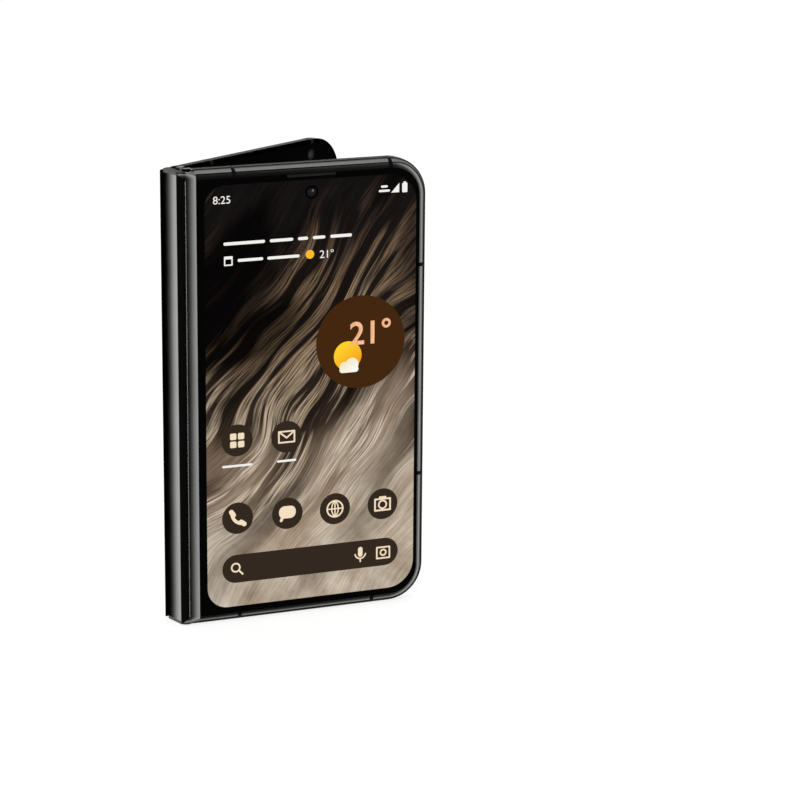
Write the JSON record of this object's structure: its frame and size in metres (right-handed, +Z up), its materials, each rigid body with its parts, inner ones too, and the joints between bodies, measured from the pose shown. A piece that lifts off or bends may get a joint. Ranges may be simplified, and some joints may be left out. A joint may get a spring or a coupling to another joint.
{
  "type": "foldable phone",
  "caption": "Book-style foldable phone standing part way open, with a geared twin-axis hinge, an outer glass display and a flexible inner display.",
  "frame": {"origin": "centre of the bounding box at its lowest level, on the surface the phone stands on", "axes": "+Z up along the fold, +X along the front half from the fold to its free edge, -Y out of the outer display"},
  "size_m": [0.0815, 0.05, 0.1397],
  "materials": {
    "black_metal": "polished black anodised",
    "polished_spine": "polished",
    "steel": "machined",
    "brass_gear": "machined",
    "glass_black": "polished",
    "panel": "glossy",
    "bezel_plastic": "satin",
    "band_plastic": "satin",
    "mesh": "woven",
    "lens_black": "glossy",
    "cell_wrap": "satin",
    "board_green": "solder mask",
    "copper": "enamelled wire",
    "lens_ivory": "frosted"
  },
  "bodies": {
    "spine": {"spine_cover": "polished_spine", "spine_end_caps": "polished_spine", "hinge_chassis": "steel", "idler_pins": "steel", "cam_followers": "steel", "spring_washers": "steel", "chassis_screws": "steel", "spine_beam": "steel"},
    "front_half": {"front_frame": "black_metal", "front_hinge_rail": "black_metal", "front_bands": "band_plastic", "cover_glass": "glass_black", "cover_display": "panel", "cover_camera": "lens_black", "earpiece_mesh": "mesh", "front_battery": "cell_wrap", "front_board": "board_green", "front_board_shields": "steel", "haptic_motor": "steel", "card_reader": "steel", "front_bezel": "bezel_plastic", "front_inner_display": "panel", "front_fold_display": "panel", "front_arms": "steel", "front_gears": "brass_gear", "front_shafts": "steel", "front_arm_screws": "steel"},
    "rear_half": {"rear_frame": "black_metal", "rear_hinge_rail": "black_metal", "rear_bands": "band_plastic", "back_glass": "glass_black", "camera_bar": "black_metal", "camera_window": "glass_black", "main_camera": "lens_black", "wide_camera": "lens_black", "tele_camera": "lens_black", "flash_lens": "lens_ivory", "rear_battery": "cell_wrap", "charging_coil": "copper", "main_board": "board_green", "main_board_shields": "steel", "charging_socket": "steel", "loudspeaker": "cell_wrap", "key_switches": "steel", "inner_camera": "lens_black", "rear_bezel": "bezel_plastic", "rear_inner_display": "panel", "rear_fold_display": "panel", "rear_arms": "steel", "rear_gears": "brass_gear", "rear_shafts": "steel", "rear_arm_screws": "steel"},
    "front_idler": {"front_idlers": "brass_gear"},
    "rear_idler": {"rear_idlers": "brass_gear"},
    "power_button": {"power_key": "black_metal"},
    "volume_button": {"volume_key": "black_metal"},
    "card_drawer": {"card_tray": "black_metal"}
  },
  "joints": [
    {"name": "front_fold", "type": "hinge", "parent": "spine", "child": "front_half", "pos_m": [-0.03612, -0.02141, 0], "axis": [0, 0, 1], "range_deg": [-74.5, 15.5], "deforming": ["front_fold_display"]},
    {"name": "rear_fold", "type": "hinge", "parent": "spine", "child": "rear_half", "pos_m": [-0.03745, -0.01664, 0], "axis": [0, 0, 1], "range_deg": [-15.5, 74.5], "deforming": ["rear_fold_display"]},
    {"name": "front_idler_turn", "type": "hinge", "parent": "spine", "child": "front_idler", "pos_m": [-0.03739, -0.02012, 0], "axis": [0, 0, 1], "range_deg": [-15.5, 74.5]},
    {"name": "rear_idler_turn", "type": "hinge", "parent": "spine", "child": "rear_idler", "pos_m": [-0.03787, -0.01839, 0], "axis": [0, 0, 1], "range_deg": [-74.5, 15.5]},
    {"name": "power_press", "type": "slide", "parent": "rear_half", "child": "power_button", "axis": [-0.8572, -0.515, 0], "range_m": [0, 0.00025], "stiffness_N_per_m": 4000},
    {"name": "volume_rock", "type": "hinge", "parent": "rear_half", "child": "volume_button", "pos_m": [0.02793, 0.02227, 0.0757], "axis": [-0.515, 0.8572, 0], "range_deg": [-1.2, 1.2], "stiffness_Nm_per_rad": 0.8},
    {"name": "card_slide", "type": "slide", "parent": "front_half", "child": "card_drawer", "axis": [0, 0, -1], "range_m": [0, 0.018]}
  ],
  "couplings": [
    {"joint": "rear_fold", "follows": "front_fold", "ratio": -1},
    {"joint": "front_idler_turn", "follows": "front_fold", "ratio": -1},
    {"joint": "rear_idler_turn", "follows": "front_fold", "ratio": 1}
  ]
}
